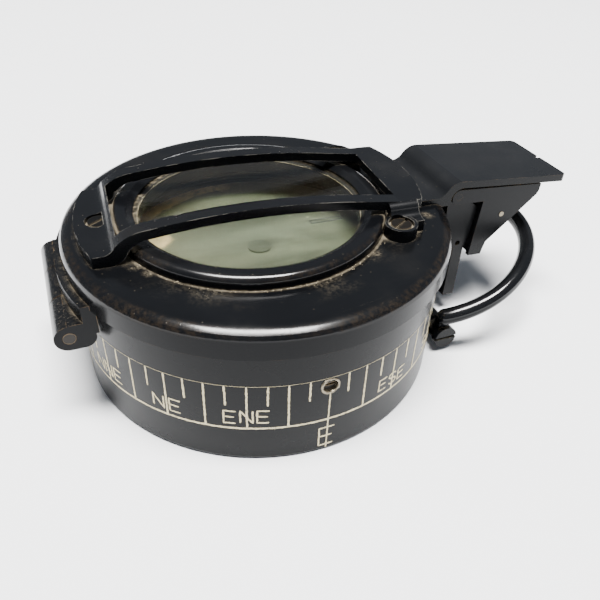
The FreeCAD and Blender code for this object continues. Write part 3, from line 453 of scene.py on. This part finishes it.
def stroke(shape, points, width, chance):
    """Paint in an engraved groove: a thin closed strip along points of (along, height)."""
    path = resampled(points, 0.3 * MM)
    rings = []
    for index, spot in enumerate(path):
        ahead = path[min(index + 1, len(path) - 1)] - path[max(index - 1, 0)]
        side = Vector((-ahead.y, ahead.x)).normalized()
        end_share = 0.7 if index in (0, len(path) - 1) else 1.0
        left = side * width * end_share * (0.5 + chance.uniform(-0.14, 0.14))
        right = side * width * end_share * (0.5 + chance.uniform(-0.14, 0.14))
        low, high = CASE_RADIUS - 0.02 * MM, CASE_RADIUS + 0.018 * MM
        corners = ((spot + left, low), (spot + left, high), (spot - right, high), (spot - right, low))
        rings.append([shape.verts.new(on_wall(*corner, radius)) for corner, radius in corners])
    for first, second in zip(rings, rings[1:]):
        for corner in range(4):
            following = (corner + 1) % 4
            shape.faces.new((first[corner], first[following], second[following], second[corner]))
    shape.faces.new(rings[0])
    shape.faces.new(rings[-1])


S_CURVE = [(0.5 + 0.5 * math.cos(math.radians(turn)), 0.75 + 0.25 * math.sin(math.radians(turn)))
           for turn in range(20, 271, 25)]
S_CURVE += [(0.5 + 0.5 * math.cos(math.radians(turn)), 0.25 + 0.25 * math.sin(math.radians(turn)))
            for turn in range(65, -161, -25)]
LETTERS = {
    "N": [[(0, 0), (0, 1), (1, 0), (1, 1)]],
    "E": [[(0.95, 0), (0, 0), (0, 1), (1, 1)], [(0, 0.52), (0.85, 0.52)]],
    "S": [S_CURVE],
    "W": [[(0, 1), (0.25, 0), (0.5, 0.9), (0.75, 0), (1, 1)]],
}
POINTS = ["N", "NNE", "NE", "ENE", "E", "ESE", "SE", "SSE", "S", "SSW", "SW", "WSW", "W", "WNW", "NW", "NNW"]


# Sizes of the engraving, in millimetres: heights are above the base.
TICKS = 64
COVERED = 10.5  # degrees on each side of the focusing track, where the wall is hidden
LINE_HEIGHT, LINE_WIDTH = 6.7, 0.32
UPPER_LINE_HEIGHT, UPPER_LINE_WIDTH = 14.95, 0.04
SHORT_TICK_FOOT, CARDINAL_FOOT, TICK_TOP = 11.2, 0.5, 14.9
PLUG, PLUG_TICK_TOP = 16, 12.0  # the tick that stops under the filler plug
TICK_WIDTH, CARDINAL_WIDTH = 0.29, 0.22
LETTER_STROKE = 0.26


def letter_sizes(label):
    """Width, height and gap of a label's letters, and the height of their feet."""
    if len(label) == 1:
        return 2.4, 3.7, 0, 1.25
    if len(label) == 2:
        return 1.75, 2.4, 0.95, 7.8
    if label == "ESE":
        return 1.58, 2.16, 0.54, 7.8
    return 1.75, 2.4, 0.6, 7.8


def engraved_scale():
    """Ticks between two lines round the case, lettered with the compass points."""
    chance = random.Random(7)
    ticks, lines, letters = bmesh.new(), bmesh.new(), bmesh.new()
    pitch = 2 * math.pi / TICKS
    for count in range(TICKS):
        angle = count * pitch - math.pi
        if abs(math.degrees(angle)) < COVERED:
            continue
        along = angle * CASE_RADIUS + chance.uniform(-0.05, 0.05) * MM
        cardinal = count % 16 == 0
        foot = CARDINAL_FOOT if cardinal else LINE_HEIGHT if count % 2 == 0 else SHORT_TICK_FOOT
        top = PLUG_TICK_TOP if count == PLUG else TICK_TOP
        stroke(ticks, [(along, foot * MM), (along + chance.uniform(-0.06, 0.06) * MM, top * MM)],
               (CARDINAL_WIDTH if cardinal else TICK_WIDTH) * MM, chance)
    for height, width in ((LINE_HEIGHT, LINE_WIDTH), (UPPER_LINE_HEIGHT, UPPER_LINE_WIDTH)):
        span = [math.radians(COVERED - 360 + step) for step in range(0, int(361 - 2 * COVERED), 3)]
        stroke(lines, [(turn * CASE_RADIUS, height * MM) for turn in span], width * MM, chance)
    for index, label in enumerate(POINTS):
        middle = index * 4 * pitch - math.pi
        if abs(math.degrees(middle)) < COVERED:
            continue
        wide, tall, gap, foot = letter_sizes(label)
        start = middle * CASE_RADIUS / MM - (len(label) * wide + (len(label) - 1) * gap) / 2
        for letter in label:
            tip = chance.uniform(-0.12, 0.12)
            for line in LETTERS[letter]:
                points = [((start + across * wide) * MM, (foot + tip + up * tall) * MM)
                          for across, up in line]
                stroke(letters, points, LETTER_STROKE * MM, chance)
            start += wide + gap
    add_piece("scale_ticks", ticks, paint, "case")
    add_piece("scale_lines", lines, paint, "case")
    add_piece("scale_letters", letters, paint, "case")


engraved_scale()


# ---- small pieces --------------------------------------------------------------------------


def index_frame():
    """Thin dark oblong drawn on the bearing glass."""
    shape = bmesh.new()
    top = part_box("bearing_glass")[1][2]
    near, far, half, line = 8.9 * MM, 14.7 * MM, 0.64 * MM, 0.32 * MM
    inner = line - half
    turn = Matrix.Rotation(math.radians(-2), 4, "Z")
    for low, high in (((near, -half), (far, inner)), ((near, -inner), (far, half)),
                      ((near, inner), (near + line, -inner)), ((far - line, inner), (far, -inner))):
        centre = Vector(((low[0] + high[0]) / 2, (low[1] + high[1]) / 2, top + 0.02 * MM))
        size = Matrix.Diagonal((high[0] - low[0], high[1] - low[1], 0.03 * MM, 1))
        bmesh.ops.create_cube(shape, size=1, matrix=turn @ Matrix.Translation(centre) @ size)
    add_piece("index_frame", shape, seal, "bearing")


def filler_rim():
    """Burred rim raised round the filler plug."""
    shape = bmesh.new()
    chance = random.Random(3)
    plug_height, hub_radius, wire_radius, steps, sides = 13.4, 1.28, 0.19, 28, 8
    centre = Vector((0, -CASE_RADIUS, plug_height * MM))
    rings = []
    for turn in range(steps):
        angle = 2 * math.pi * turn / steps
        out = Vector((math.cos(angle), 0, math.sin(angle)))
        wire = (wire_radius + chance.uniform(-0.08, 0.08)) * MM
        hub = centre + out * hub_radius * MM
        rings.append([shape.verts.new(hub + (out * math.cos(bend) + Vector((0, math.sin(bend), 0))) * wire)
                      for bend in (2 * math.pi * step / sides for step in range(sides))])
    for first, second in zip(rings, rings[1:] + rings[:1]):
        for step in range(sides):
            following = (step + 1) % sides
            shape.faces.new((first[step], first[following], second[following], second[step]))
    add_piece("filler_rim", shape, rim_metal, "case")


def grains(name, spots, chance):
    """Irregular crumbs of dust at the given spots."""
    shape = bmesh.new()
    for spot in spots:
        size = chance.uniform(0.025, 0.07) * MM
        wide, deep, tall = chance.uniform(0.7, 1.4), chance.uniform(0.7, 1.4), chance.uniform(0.5, 0.9)
        turn = Matrix.Rotation(chance.uniform(0, math.tau), 4, "Z")
        matrix = Matrix.Translation(spot) @ turn @ Matrix.Diagonal((wide, deep, tall, 1))
        bmesh.ops.create_icosphere(shape, subdivisions=1, radius=size, matrix=matrix)
    add_piece(name, shape, crumbs, "lid")


def bezel_crumbs():
    """Dust caught where the window's bezel meets the lid."""
    chance = random.Random(11)
    spots, wanted = [], 380
    while len(spots) < wanted:
        angle = chance.uniform(-math.pi, math.pi)
        clump = 0.5 + 0.5 * math.sin(3 * angle + 0.8) * math.sin(7 * angle)
        if chance.random() > 0.35 + 0.65 * clump:
            continue
        away = BEZEL_RADIUS + abs(chance.gauss(0.06, 0.3)) * MM
        spots.append(Vector((BEZEL_X + away * math.cos(angle), away * math.sin(angle), LID_TOP + 0.02 * MM)))
    grains("bezel_crumbs", spots, chance)


index_frame()
filler_rim()
bezel_crumbs()


# ---- stage ---------------------------------------------------------------------------------


def place_camera():
    """The camera stands over the near left of the compass, tipped down and rolled slightly."""
    azimuth, pitch, roll = (math.radians(angle) for angle in (-23.38, 37.57, 2.39))
    stand = Vector((-28.61, -84.31, 75.29)) * MM
    sensor, focal_length, row = 36, 37.63, 1 / 600
    reach = math.cos(pitch)
    forward = Vector((-math.sin(azimuth) * reach, math.cos(azimuth) * reach, -math.sin(pitch)))
    level = Vector((math.cos(azimuth), math.sin(azimuth), 0))
    upright = level.cross(forward)
    right = math.cos(roll) * level + math.sin(roll) * upright
    up = math.cos(roll) * upright - math.sin(roll) * level
    data = bpy.data.cameras.new("camera")
    data.sensor_width = sensor
    data.lens = focal_length
    data.clip_start = MM
    data.shift_y = -row
    camera = bpy.data.objects.new("camera", data)
    bpy.context.scene.collection.objects.link(camera)
    turn = Matrix((right, up, -forward)).transposed()
    camera.matrix_world = Matrix.Translation(stand) @ turn.to_4x4()
    bpy.context.scene.camera = camera


def area_light(name, place, size, power, colour):
    """Lamp aimed at the origin, with its long side across the camera's view."""
    data = bpy.data.lights.new(name, "AREA")
    data.shape = "RECTANGLE"
    data.size, data.size_y = size
    data.energy = power
    data.color = colour
    lamp = bpy.data.objects.new(name, data)
    back = Vector(place).normalized()
    across = bpy.context.scene.camera.matrix_world.col[0].to_3d()
    across = (across - back * across.dot(back)).normalized()
    turn = Matrix((across, back.cross(across), back)).transposed()
    lamp.matrix_world = Matrix.Translation(place) @ turn.to_4x4()
    bpy.context.scene.collection.objects.link(lamp)


def pale_floor():
    """Plain floor under the base."""
    shape = bmesh.new()
    bmesh.ops.create_grid(shape, x_segments=1, y_segments=1, size=1.6)
    mesh = bpy.data.meshes.new("floor")
    shape.to_mesh(mesh)
    shape.free()
    mesh.materials.append(plain("floor", (0.9, 0.915, 0.94, 1), (0.87, 0.885, 0.91, 1), 0.9, 0.95, 60))
    floor = bpy.data.objects.new("floor", mesh)
    bpy.context.scene.collection.objects.link(floor)


def sky():
    """Faint cool light from all round."""
    world = bpy.data.worlds.new("room")
    bpy.context.scene.world = world
    world.use_nodes = True
    background = world.node_tree.nodes["Background"]
    background.inputs["Color"].default_value = (0.82, 0.89, 1.0, 1)
    background.inputs["Strength"].default_value = 0.22


place_camera()
pale_floor()
sky()
area_light("overhead", (-0.05, -0.13, 1.34), (0.85, 0.36), 90, (1.0, 0.985, 0.96))
